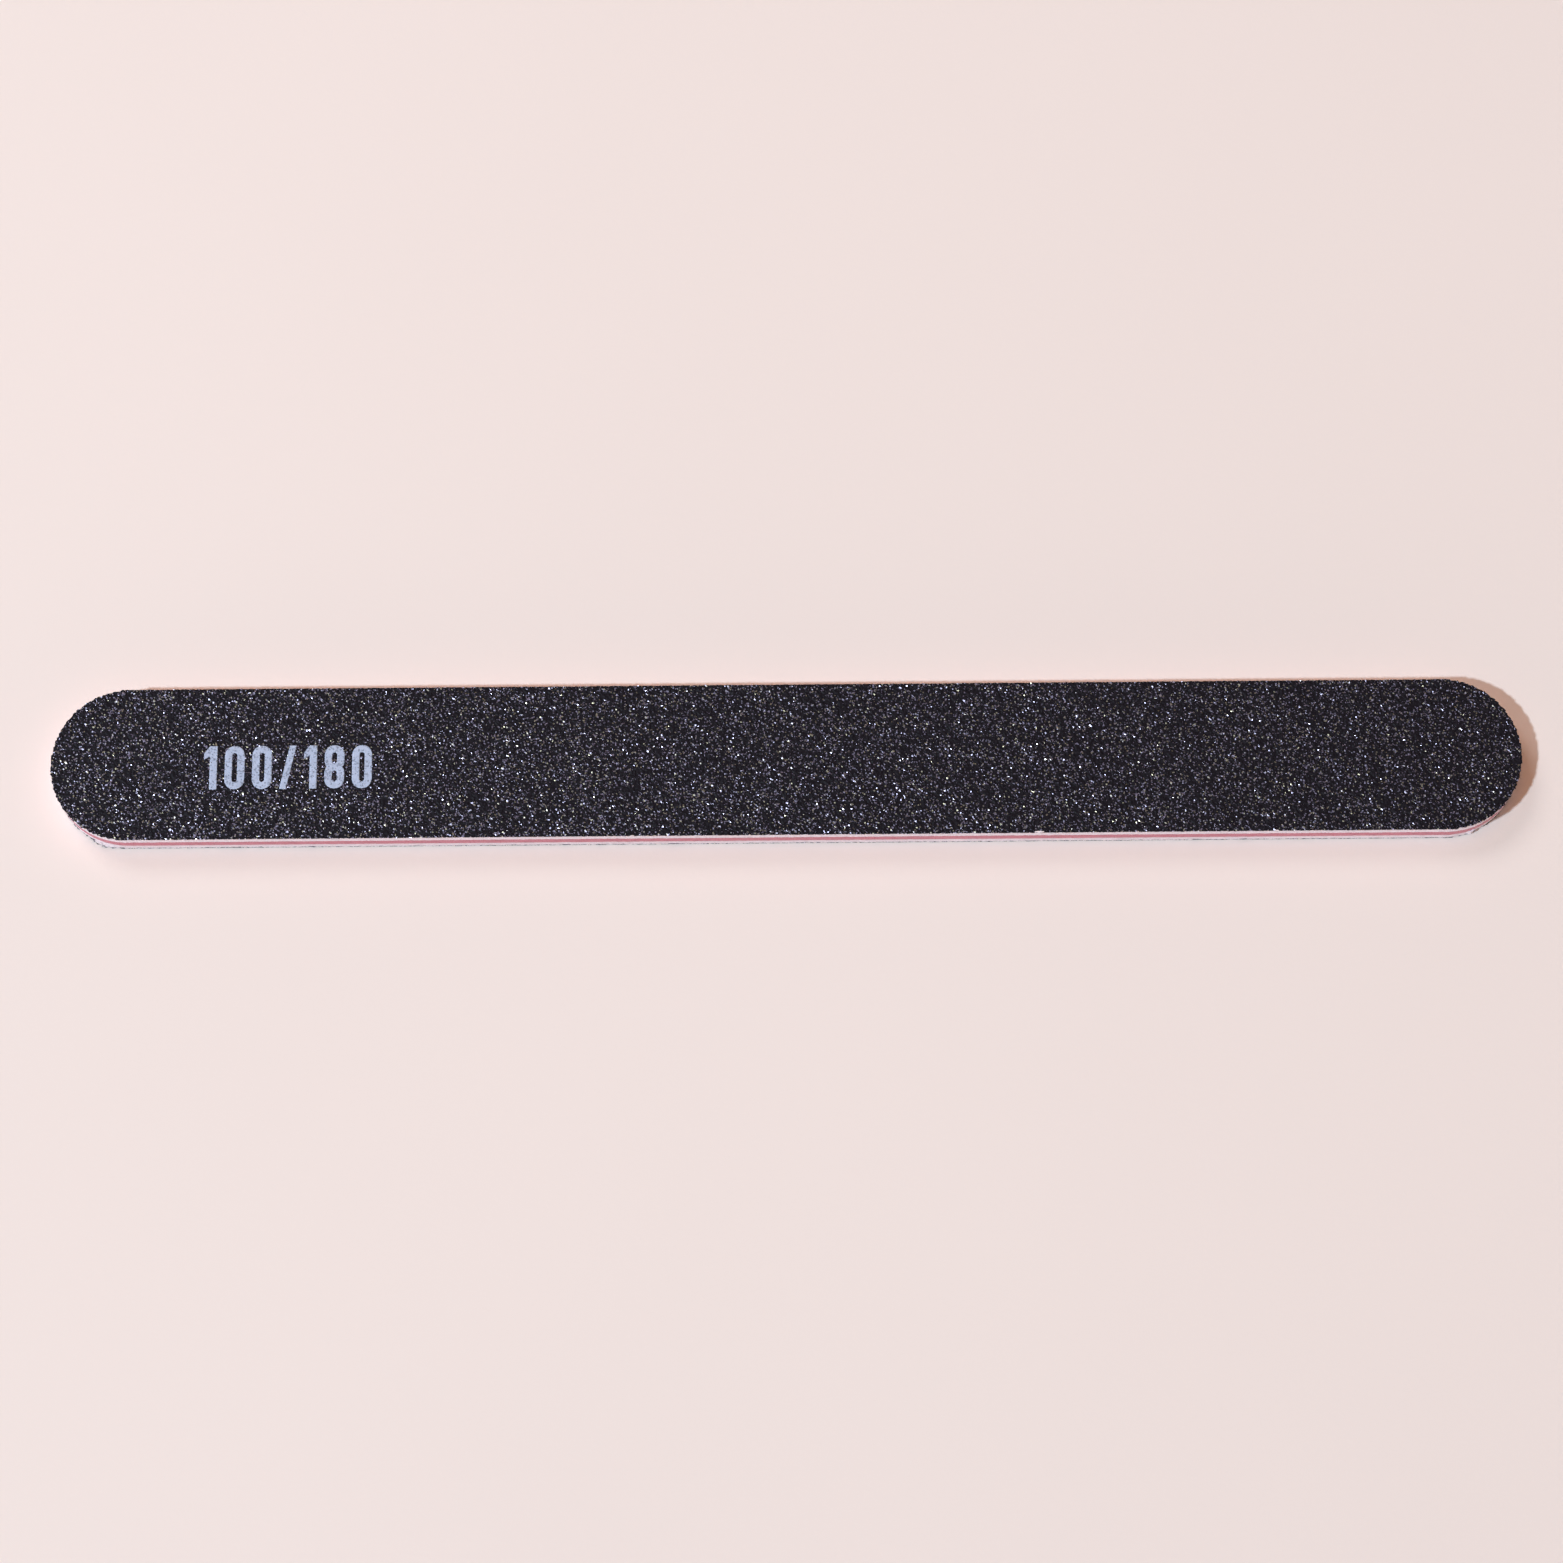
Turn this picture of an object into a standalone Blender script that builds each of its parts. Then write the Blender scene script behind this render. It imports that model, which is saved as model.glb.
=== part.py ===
"""Straight nail file: a round-ended, die-cut laminate with an abrasive sheet on each face.

The layers are flat plates of one outline, stacked along Z and bonded with glue films.
The file lies along X with its finer face down, and the origin is the centre of that face.
All sizes are in metres.
"""

import math

import bpy

# Outline of the die that cuts every layer
LENGTH = 0.178
WIDTH = 0.019
END_SEGMENTS = 32

# Thickness of the whole laminate, and of each layer in it
TOTAL_THICKNESS = 0.0040
COARSE_GRIT = 0.00016
FINE_GRIT = 0.00012
PAPER = 0.00017
FOAM = 0.00088
GLUE = 0.00005
BOND_GAP = 0.00001
BONDS = 10
CORE = (
    TOTAL_THICKNESS - COARSE_GRIT - FINE_GRIT - 2 * PAPER - 2 * FOAM - 4 * GLUE - BONDS * BOND_GAP
)

# Printed grit grade, on the coarse face near the left end
INK = 0.00003
MARK_CENTRE_X = -0.06025
MARK_CENTRE_Y = -0.0005
DIGIT_HEIGHT = 0.00545
ZERO_WIDTH = 0.0024
ONE_WIDTH = 0.0016
SLASH_WIDTH = 0.0020
STROKE = 0.0009
DIGIT_GAP = 0.00092
ROUND_SEGMENTS = 12
FLAG_DROP = 0.0009
FLAG_DEPTH = 0.0008
SLASH_STROKE = 0.0008


def clear_scene():
    """Removes every object of the scene the script starts in."""
    for old in list(bpy.data.objects):
        bpy.data.objects.remove(old, do_unlink=True)


def new_collection(name):
    """Adds a collection to the scene."""
    collection = bpy.data.collections.new(name)
    bpy.context.scene.collection.children.link(collection)
    return collection


def new_material(name, colour, roughness, metallic=0.0):
    """Makes a Principled BSDF material from a linear colour and two numbers."""
    material = bpy.data.materials.new(name)
    material.use_nodes = True
    shader = material.node_tree.nodes["Principled BSDF"]
    shader.inputs["Base Color"].default_value = (*colour, 1.0)
    shader.inputs["Roughness"].default_value = roughness
    shader.inputs["Metallic"].default_value = metallic
    material.diffuse_color = (*colour, 1.0)
    return material


def arc(centre, radius, start, end, segments):
    """Points along a circular arc, both ends included; the angles are in degrees."""
    points = []
    for step in range(segments + 1):
        angle = math.radians(start + (end - start) * step / segments)
        points.append((centre[0] + radius * math.cos(angle), centre[1] + radius * math.sin(angle)))
    return points


def long_stadium(length, width, segments):
    """A straight-sided outline along X with a half circle at each end, centred on the origin."""
    radius = width / 2
    reach = length / 2 - radius
    right = arc((reach, 0.0), radius, -90, 90, segments)
    left = arc((-reach, 0.0), radius, 90, 270, segments)
    return right + left


def tall_stadium(low, high, width, middle, segments):
    """A straight-sided outline along Y with a half circle at each end, between two heights."""
    radius = width / 2
    top = arc((middle, high - radius), radius, 0, 180, segments)
    bottom = arc((middle, low + radius), radius, 180, 360, segments)
    return top + bottom


def flat_plate(name, outlines, bottom, thickness, material, collection, parent):
    """Adds a filled 2D curve as thick as the plate; a second outline inside the first is a hole."""
    curve = bpy.data.curves.new(name, "CURVE")
    curve.dimensions = "2D"
    curve.fill_mode = "BOTH"
    curve.extrude = thickness / 2
    for outline in outlines:
        spline = curve.splines.new("POLY")
        spline.points.add(len(outline) - 1)
        for point, (x, y) in zip(spline.points, outline):
            point.co = (x, y, 0.0, 1.0)
        spline.use_cyclic_u = True
    curve.materials.append(material)
    plate = bpy.data.objects.new(name, curve)
    plate.location.z = bottom + thickness / 2
    plate.parent = parent
    collection.objects.link(plate)
    return plate


def stack_layers(materials, collection, parent):
    """Stacks the laminate from the fine face up, and returns the height of its coarse face."""
    layers = (
        ("bottom_abrasive_grit", FINE_GRIT, "grit"),
        ("bottom_abrasive_paper", PAPER, "paper"),
        ("bottom_outer_glue_film", GLUE, "glue"),
        ("bottom_foam_pad", FOAM, "foam"),
        ("bottom_inner_glue_film", GLUE, "glue"),
        ("core_strip", CORE, "core"),
        ("top_inner_glue_film", GLUE, "glue"),
        ("top_foam_pad", FOAM, "foam"),
        ("top_outer_glue_film", GLUE, "glue"),
        ("top_abrasive_paper", PAPER, "paper"),
        ("top_abrasive_grit", COARSE_GRIT, "grit"),
    )
    outline = long_stadium(LENGTH, WIDTH, END_SEGMENTS)
    height = 0.0
    for name, thickness, finish in layers:
        flat_plate(name, [outline], height, thickness, materials[finish], collection, parent)
        height += thickness + BOND_GAP
    return height - BOND_GAP


def zero_outlines():
    """The digit 0: a ring between two tall stadiums, from x = 0."""
    middle = ZERO_WIDTH / 2
    outer = tall_stadium(0.0, DIGIT_HEIGHT, ZERO_WIDTH, middle, ROUND_SEGMENTS)
    hole_width = ZERO_WIDTH - 2 * STROKE
    hole = tall_stadium(STROKE, DIGIT_HEIGHT - STROKE, hole_width, middle, ROUND_SEGMENTS)
    return [outer, hole]


def one_outlines():
    """The digit 1: an upright bar with a short flag at its top left, from x = 0."""
    bar = ONE_WIDTH - STROKE
    outline = [
        (ONE_WIDTH, 0.0),
        (ONE_WIDTH, DIGIT_HEIGHT),
        (bar, DIGIT_HEIGHT),
        (0.0, DIGIT_HEIGHT - FLAG_DROP),
        (0.0, DIGIT_HEIGHT - FLAG_DROP - FLAG_DEPTH),
        (bar, DIGIT_HEIGHT - FLAG_DROP - FLAG_DEPTH / 2),
        (bar, 0.0),
    ]
    return [outline]


def eight_outlines():
    """The digit 8: two stacked lobes that share one stroke at the waist, from x = 0."""
    radius = ZERO_WIDTH / 2
    middle = ZERO_WIDTH / 2
    lobe_height = (DIGIT_HEIGHT + STROKE) / 2
    low_shoulder = lobe_height - radius
    high_shoulder = DIGIT_HEIGHT - lobe_height + radius
    waist = math.degrees(math.asin((high_shoulder - low_shoulder) / 2 / radius))
    corner = ROUND_SEGMENTS // 2
    outer = (
        arc((middle, radius), radius, -90, 0, corner)
        + arc((middle, low_shoulder), radius, 0, waist, corner)
        + arc((middle, high_shoulder), radius, -waist, 0, corner)[1:]
        + arc((middle, DIGIT_HEIGHT - radius), radius, 0, 180, ROUND_SEGMENTS)
        + arc((middle, high_shoulder), radius, 180, 180 + waist, corner)
        + arc((middle, low_shoulder), radius, 180 - waist, 180, corner)[1:]
        + arc((middle, radius), radius, 180, 270, corner)[:-1]
    )
    hole_width = ZERO_WIDTH - 2 * STROKE
    low_hole = tall_stadium(STROKE, lobe_height - STROKE, hole_width, middle, corner)
    high_base = DIGIT_HEIGHT - lobe_height + STROKE
    high_hole = tall_stadium(high_base, DIGIT_HEIGHT - STROKE, hole_width, middle, corner)
    return [outer, low_hole, high_hole]


def slash_outlines():
    """The stroke between the two grades: a leaning bar, from x = 0."""
    outline = [
        (0.0, 0.0),
        (SLASH_STROKE, 0.0),
        (SLASH_WIDTH, DIGIT_HEIGHT),
        (SLASH_WIDTH - SLASH_STROKE, DIGIT_HEIGHT),
    ]
    return [outline]


def print_grade(bottom, material, collection, parent):
    """Prints 100/180 on the coarse face: the grade of this face, then of the other one."""
    zero = (zero_outlines(), ZERO_WIDTH)
    one = (one_outlines(), ONE_WIDTH)
    eight = (eight_outlines(), ZERO_WIDTH)
    slash = (slash_outlines(), SLASH_WIDTH)
    glyphs = (
        ("print_coarse_one", one),
        ("print_coarse_first_zero", zero),
        ("print_coarse_second_zero", zero),
        ("print_slash", slash),
        ("print_fine_one", one),
        ("print_fine_eight", eight),
        ("print_fine_zero", zero),
    )
    row_length = sum(width for _, (_, width) in glyphs) + DIGIT_GAP * (len(glyphs) - 1)
    x = MARK_CENTRE_X - row_length / 2
    for name, (outlines, width) in glyphs:
        glyph = flat_plate(name, outlines, bottom, INK, material, collection, parent)
        glyph.location.x = x
        glyph.location.y = MARK_CENTRE_Y - DIGIT_HEIGHT / 2
        x += width + DIGIT_GAP


def main():
    """Builds the file in a collection of its own."""
    clear_scene()
    collection = new_collection("nail_file")
    base = bpy.data.objects.new("nail_file_base", None)
    base.empty_display_size = WIDTH
    collection.objects.link(base)
    materials = {
        "grit": new_material("black_silicon_carbide", (0.022, 0.019, 0.026), 0.42),
        "paper": new_material("pale_backing_paper", (0.62, 0.50, 0.49), 0.85),
        "glue": new_material("clear_acrylic_glue", (0.72, 0.56, 0.52), 0.35),
        "foam": new_material("white_foam", (0.80, 0.66, 0.67), 0.75),
        "core": new_material("pink_polystyrene", (0.56, 0.12, 0.17), 0.38),
        "ink": new_material("pale_grey_ink", (0.44, 0.50, 0.66), 0.55),
    }
    coarse_face = stack_layers(materials, collection, base)
    print_grade(coarse_face + BOND_GAP, materials["ink"], collection, base)


main()
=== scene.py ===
"""Looks of a straight, cushioned nail file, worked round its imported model.

Every plate of the laminate gets a finer piece in its place: faceted abrasive coats, torn paper
edges, cellular foam, a die-cut core and a print that follows the grains. Sizes are in metres.
"""

import logging
import math
from collections.abc import Callable, Mapping, Sequence
from dataclasses import dataclass, replace
from enum import Enum
from typing import Any

import bmesh
import bpy
from mathutils import Matrix, Vector


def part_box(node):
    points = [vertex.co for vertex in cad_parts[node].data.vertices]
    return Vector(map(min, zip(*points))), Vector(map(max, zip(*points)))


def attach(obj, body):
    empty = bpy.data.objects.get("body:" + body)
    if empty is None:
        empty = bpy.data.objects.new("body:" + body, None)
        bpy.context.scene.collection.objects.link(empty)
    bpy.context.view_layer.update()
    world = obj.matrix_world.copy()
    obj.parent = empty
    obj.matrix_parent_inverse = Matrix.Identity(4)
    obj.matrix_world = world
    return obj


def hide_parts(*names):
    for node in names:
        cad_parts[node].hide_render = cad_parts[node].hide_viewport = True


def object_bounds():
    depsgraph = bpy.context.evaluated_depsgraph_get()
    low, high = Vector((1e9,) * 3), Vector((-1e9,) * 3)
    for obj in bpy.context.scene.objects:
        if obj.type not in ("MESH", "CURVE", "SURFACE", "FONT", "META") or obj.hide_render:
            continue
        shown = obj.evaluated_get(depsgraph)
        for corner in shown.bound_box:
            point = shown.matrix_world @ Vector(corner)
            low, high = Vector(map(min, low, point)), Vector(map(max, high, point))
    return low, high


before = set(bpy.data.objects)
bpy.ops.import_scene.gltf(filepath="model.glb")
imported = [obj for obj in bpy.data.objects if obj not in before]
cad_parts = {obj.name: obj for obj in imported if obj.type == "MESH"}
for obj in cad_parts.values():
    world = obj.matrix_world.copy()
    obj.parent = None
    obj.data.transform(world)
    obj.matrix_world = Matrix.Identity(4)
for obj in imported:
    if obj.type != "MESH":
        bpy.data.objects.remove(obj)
CAD_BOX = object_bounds()

LOG = logging.getLogger("nail_file")
MM = 0.001
BODY = "root"
Colour = tuple[float, float, float]
Span = tuple[float, float]


# ---------------------------------------------------------------- modelling helpers


def clear_selection() -> None:
    """Leaves edit mode and deselects every object."""
    if bpy.context.object is not None and bpy.context.object.mode != "OBJECT":
        bpy.ops.object.mode_set(mode="OBJECT")
    bpy.ops.object.select_all(action="DESELECT")


def make_active(*pieces: bpy.types.Object) -> None:
    """Selects the pieces and makes the first one active.

    Args:
        pieces: the objects that the next tool works on.
    """
    clear_selection()
    for piece in pieces:
        piece.select_set(True)
    bpy.context.view_layer.objects.active = pieces[0]


def name_piece(piece: bpy.types.Object, name: str) -> bpy.types.Object:
    """Gives an object and its mesh one name.

    Args:
        piece: the object.
        name: its new name.

    Returns:
        The same object.
    """
    piece.name = name
    piece.data.name = name
    return piece


def join(pieces: Sequence[bpy.types.Object]) -> bpy.types.Object:
    """Joins several meshes into the first of them.

    Args:
        pieces: the objects to join.

    Returns:
        The joined object.
    """
    make_active(*pieces)
    bpy.ops.object.join()
    return pieces[0]


def apply_place(piece: bpy.types.Object) -> None:
    """Moves an object's place, turn and size into its mesh."""
    make_active(piece)
    bpy.ops.object.transform_apply(location=True, rotation=True, scale=True)


def shade(piece: bpy.types.Object, angle: float | None) -> None:
    """Shades a piece smooth up to an angle, or flat.

    Args:
        piece: the object.
        angle: the sharpest edge, in degrees, that still shades smooth, or None for flat.
    """
    make_active(piece)
    if angle is None:
        bpy.ops.object.shade_flat()
    else:
        bpy.ops.object.shade_smooth_by_angle(angle=math.radians(angle))


class Bench:
    """Holds one object in edit mode, and picks its parts by place before each tool."""

    def __init__(self, piece: bpy.types.Object) -> None:
        """Takes the object to work on."""
        self.piece = piece

    def __enter__(self) -> "Bench":
        """Opens the object's mesh for editing.

        Returns:
            The bench itself.
        """
        make_active(self.piece)
        bpy.ops.object.mode_set(mode="EDIT")
        bpy.ops.mesh.select_mode(type="VERT")
        return self

    def __exit__(self, *error: object) -> None:
        """Closes the mesh again."""
        bpy.ops.object.mode_set(mode="OBJECT")

    def reopen(self) -> None:
        """Closes and opens the mesh, which works out its normals afresh."""
        bpy.ops.object.mode_set(mode="OBJECT")
        bpy.ops.object.mode_set(mode="EDIT")

    def pick_all(self) -> None:
        """Selects everything."""
        bpy.ops.mesh.select_all(action="SELECT")

    def pick(self, test: Callable[[Vector], bool]) -> int:
        """Selects the vertices that pass a test.

        Args:
            test: says from a vertex's place whether it is wanted.

        Returns:
            The number of vertices selected.
        """
        bpy.ops.mesh.select_mode(type="VERT")
        bpy.ops.mesh.select_all(action="DESELECT")
        mesh = bmesh.from_edit_mesh(self.piece.data)
        count = 0
        for vertex in mesh.verts:
            wanted = test(vertex.co)
            vertex.select_set(wanted)
            count += wanted
        mesh.select_flush(True)
        bmesh.update_edit_mesh(self.piece.data)
        return count

    def pick_edges(self, test: Callable[[Vector, Vector], bool]) -> int:
        """Selects the edges that pass a test.

        Args:
            test: says from an edge's two ends whether it is wanted.

        Returns:
            The number of edges selected.
        """
        bpy.ops.mesh.select_mode(type="EDGE")
        bpy.ops.mesh.select_all(action="DESELECT")
        mesh = bmesh.from_edit_mesh(self.piece.data)
        count = 0
        for edge in mesh.edges:
            wanted = test(edge.verts[0].co, edge.verts[1].co)
            if wanted:
                edge.select_set(True)
            count += wanted
        bmesh.update_edit_mesh(self.piece.data)
        return count

    def pick_rim(self) -> None:
        """Selects the open edges."""
        bpy.ops.mesh.select_mode(type="EDGE")
        bpy.ops.mesh.select_all(action="DESELECT")
        bpy.ops.mesh.select_non_manifold(
            extend=False, use_wire=False, use_boundary=True, use_multi_face=False,
            use_non_contiguous=False, use_verts=False,
        )

    def extrude(self, step: Vector) -> None:
        """Extrudes the selection and moves the new part.

        Args:
            step: how far it moves.
        """
        bpy.ops.mesh.extrude_region_move(TRANSFORM_OT_translate={"value": step})

    def scale(self, factors: Sequence[float], centre: Sequence[float] = (0.0, 0.0, 0.0)) -> None:
        """Scales the selection about a point.

        Args:
            factors: the scale along X, Y and Z.
            centre: the point that stays still.
        """
        bpy.ops.transform.resize(value=factors, center_override=centre)

    def roughen(self, amount: float, seed: int, along_normal: float = 0.0) -> None:
        """Moves each selected vertex by its own random amount.

        Args:
            amount: the furthest that a vertex moves.
            seed: starts the random draw.
            along_normal: 0 for any direction, 1 for outwards only.
        """
        bpy.ops.transform.vertex_random(
            offset=amount, uniform=0.0, normal=along_normal, seed=seed
        )

    def tug(self, spot: "Tug", outline: "Outline") -> None:
        """Pulls the edge out of line at one spot, most at its middle.

        Args:
            spot: where, how widely and which way.
            outline: the edge that the spot lies on.
        """
        middle = Vector((spot.x, -outline.edge_y(spot.x)))
        for ring in range(spot.rings, 0, -1):
            reach = spot.radius * ring / spot.rings
            if self.pick(lambda place, reach=reach: (place.xy - middle).length < reach):
                bpy.ops.transform.translate(value=[step / spot.rings for step in spot.step])

    def weld(self, distance: float) -> None:
        """Merges all vertices that lie closer than a distance."""
        self.pick_all()
        bpy.ops.mesh.remove_doubles(threshold=distance)

    def face_out(self) -> None:
        """Turns every face of a closed mesh outwards."""
        self.pick_all()
        bpy.ops.mesh.normals_make_consistent(inside=False)


@dataclass(frozen=True)
class Outline:
    """The die's outline: straight sides along X and a half circle at each end."""

    half_length: float
    radius: float

    @property
    def reach(self) -> float:
        """How far the centre of each end's half circle is from the middle."""
        return self.half_length - self.radius

    def inset(self, margin: float) -> "Outline":
        """The same outline, a margin smaller all round."""
        return Outline(self.half_length - margin, self.radius - margin)

    def edge_y(self, x: float) -> float:
        """Half the outline's width at a place along its length."""
        past = max(abs(x) - self.reach, 0.0)
        return math.sqrt(max(self.radius**2 - past**2, 0.0))


@dataclass(frozen=True)
class Tug:
    """A spot on the front edge that the die pulled out of line, in rings round its middle."""

    x: float
    radius: float
    step: tuple[float, float, float]
    rings: int = 4


LIP = Tug(-82.7 * MM, 1.9 * MM, (-0.10 * MM, -0.30 * MM, 0.0))
BURR = Tug(82.8 * MM, 0.42 * MM, (0.06 * MM, -0.30 * MM, 0.0))


def die_outline() -> Outline:
    """Reads the die's outline from the core's box."""
    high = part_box("core_strip")[1]
    return Outline(high.x, high.y)


# ---------------------------------------------------------------- shader helpers


class Value:
    """A number in a shader; arithmetic on it adds Math nodes."""

    def __init__(self, tree: "ShaderTree", socket: bpy.types.NodeSocket) -> None:
        """Wraps an output socket."""
        self.tree = tree
        self.socket = socket

    def math(self, operation: str, *others: "Value | float", first: bool = True) -> "Value":
        """Adds a Math node.

        Args:
            operation: the node's operation.
            others: the other numbers.
            first: whether this value comes before the others.

        Returns:
            The result.
        """
        given = (self, *others) if first else (*others, self)
        node = self.tree.node("ShaderNodeMath", {"operation": operation}, dict(enumerate(given)))
        return Value(self.tree, node.outputs[0])

    def __add__(self, other: "Value | float") -> "Value":
        """Adds."""
        return self.math("ADD", other)

    __radd__ = __add__

    def __sub__(self, other: "Value | float") -> "Value":
        """Takes another number away."""
        return self.math("SUBTRACT", other)

    def __rsub__(self, other: float) -> "Value":
        """Takes this value away from a number."""
        return self.math("SUBTRACT", other, first=False)

    def __mul__(self, other: "Value | float") -> "Value":
        """Multiplies."""
        return self.math("MULTIPLY", other)

    __rmul__ = __mul__

    def __truediv__(self, other: "Value | float") -> "Value":
        """Divides."""
        return self.math("DIVIDE", other)

    def __pow__(self, other: "Value | float") -> "Value":
        """Raises to a power."""
        return self.math("POWER", other)

    def __gt__(self, other: "Value | float") -> "Value":
        """Gives 1 where this value is greater, and 0 elsewhere."""
        return self.math("GREATER_THAN", other)

    def ramp(self, low: float, high: float) -> "Value":
        """Rises smoothly from 0 to 1 between two values.

        Args:
            low: where the result is 0.
            high: where the result is 1.

        Returns:
            The result, from 0 to 1.
        """
        node = self.tree.node(
            "ShaderNodeMapRange",
            {"interpolation_type": "SMOOTHSTEP", "clamp": True},
            {"Value": self, "From Min": low, "From Max": high, "To Min": 0.0, "To Max": 1.0},
        )
        return Value(self.tree, node.outputs["Result"])


class ShaderTree:
    """Builds one material's or world's nodes."""

    def __init__(self, owner: "bpy.types.Material | bpy.types.World") -> None:
        """Empties the owner's node tree, ready for new nodes.

        Args:
            owner: the material or world that the nodes belong to.
        """
        self.owner = owner
        owner.use_nodes = True
        self.tree = owner.node_tree
        self.tree.nodes.clear()
        self.place = None

    def node(
        self,
        kind: str,
        settings: Mapping[str, Any] | None = None,
        inputs: Mapping[str | int, Any] | None = None,
    ) -> bpy.types.Node:
        """Adds a node.

        Args:
            kind: the node's type.
            settings: its own settings, set before its sockets.
            inputs: values or links for its sockets, by name or number.

        Returns:
            The new node.
        """
        made = self.tree.nodes.new(kind)
        for name, setting in (settings or {}).items():
            setattr(made, name, setting)
        for name, given in (inputs or {}).items():
            self.feed(made.inputs[name], given)
        return made

    def feed(self, socket: bpy.types.NodeSocket, given: Any) -> None:
        """Links an input to a socket, or sets its value.

        Args:
            socket: the input.
            given: a Value, an output socket, a colour of three numbers, or a number.
        """
        if isinstance(given, Value):
            given = given.socket
        if isinstance(given, bpy.types.NodeSocket):
            self.tree.links.new(given, socket)
        elif socket.type == "RGBA":
            socket.default_value = (*given, 1.0)
        else:
            socket.default_value = given

    def where(self) -> bpy.types.NodeSocket:
        """The place on the piece.

        Returns:
            Its coordinates in metres.
        """
        if self.place is None:
            self.place = self.node("ShaderNodeTexCoord").outputs["Object"]
        return self.place

    def stretched(self, scale: Sequence[float], turn: float = 0.0) -> bpy.types.NodeSocket:
        """The place on the piece, turned about Z and then scaled along each axis.

        Args:
            scale: the scale along X, Y and Z.
            turn: the turn, in degrees.

        Returns:
            The turned and scaled coordinates.
        """
        turned = {"Vector": self.where(), "Rotation": (0.0, 0.0, math.radians(turn))}
        where = self.node("ShaderNodeMapping", None, turned).outputs["Vector"]
        return self.node("ShaderNodeMapping", None, {"Vector": where, "Scale": scale}).outputs[0]

    def noise(self, size: float, detail: float = 2.0, where: Any = None) -> Value:
        """Soft noise from 0 to 1.

        Args:
            size: the size of its patches.
            detail: how many finer layers it has.
            where: its coordinates, or None for the place on the piece.

        Returns:
            The noise.
        """
        inputs = {"Vector": where or self.where(), "Scale": 1.0 / size, "Detail": detail}
        return Value(self, self.node("ShaderNodeTexNoise", None, inputs).outputs["Fac"])

    def cells(self, size: float, where: Any = None) -> bpy.types.Node:
        """A pattern of cells, one to each grain or pore.

        Args:
            size: the cells' size.
            where: its coordinates, or None for the place on the piece.

        Returns:
            The node, with its Color and Distance outputs.
        """
        inputs = {"Vector": where or self.where(), "Scale": 1.0 / size}
        return self.node("ShaderNodeTexVoronoi", {"feature": "F1"}, inputs)

    def parts(self, colour: Any) -> tuple[Value, Value, Value]:
        """The three channels of a colour.

        Args:
            colour: a colour socket.

        Returns:
            Its red, green and blue.
        """
        node = self.node("ShaderNodeSeparateColor", None, {"Color": colour})
        return tuple(Value(self, output) for output in node.outputs[:3])

    def mix(self, share: Any, first: Any, second: Any) -> bpy.types.NodeSocket:
        """Mixes two colours.

        Args:
            share: how much of the second colour, from 0 to 1.
            first: the colour at 0.
            second: the colour at 1.

        Returns:
            The mixed colour.
        """
        node = self.node("ShaderNodeMix", {"data_type": "RGBA"})
        self.feed(node.inputs[0], share)
        self.feed(node.inputs[6], first)
        self.feed(node.inputs[7], second)
        return node.outputs[2]

    def vector(self, operation: str, *given: Any) -> bpy.types.NodeSocket:
        """Adds a Vector Math node.

        Args:
            operation: the node's operation.
            given: its inputs, in order.

        Returns:
            The resulting vector.
        """
        node = self.node("ShaderNodeVectorMath", {"operation": operation})
        for socket, value in zip(node.inputs, given, strict=False):
            self.feed(socket, value)
        return node.outputs[0]

    def scaled_vector(self, vector: Any, factor: Any) -> bpy.types.NodeSocket:
        """Scales a vector.

        Args:
            vector: the vector.
            factor: the number that it is multiplied by.

        Returns:
            The longer or shorter vector.
        """
        node = self.node("ShaderNodeVectorMath", {"operation": "SCALE"})
        self.feed(node.inputs["Vector"], vector)
        self.feed(node.inputs["Scale"], factor)
        return node.outputs[0]

    def bump(self, height: Value, depth: float) -> bpy.types.NodeSocket:
        """Turns a height into a normal.

        Args:
            height: the height, from 0 to 1.
            depth: the real height of 1.

        Returns:
            The normal.
        """
        inputs = {"Height": height, "Distance": depth, "Strength": 1.0}
        return self.node("ShaderNodeBump", None, inputs).outputs["Normal"]

    def finish(self, inputs: Mapping[str, Any]) -> bpy.types.Material:
        """Ends a material in a Principled BSDF.

        Args:
            inputs: values or links for the shader's sockets.

        Returns:
            The material.
        """
        shader = self.node("ShaderNodeBsdfPrincipled", None, inputs)
        self.node("ShaderNodeOutputMaterial", None, {"Surface": shader.outputs[0]})
        return self.owner


def new_tree(name: str) -> ShaderTree:
    """Makes an empty material, ready for its nodes."""
    return ShaderTree(bpy.data.materials.new(name))


def dimmed(colour: Colour, share: float) -> Colour:
    """Keeps a share of a colour's brightness."""
    return tuple(share * part for part in colour)


# ---------------------------------------------------------------- finishes


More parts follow.
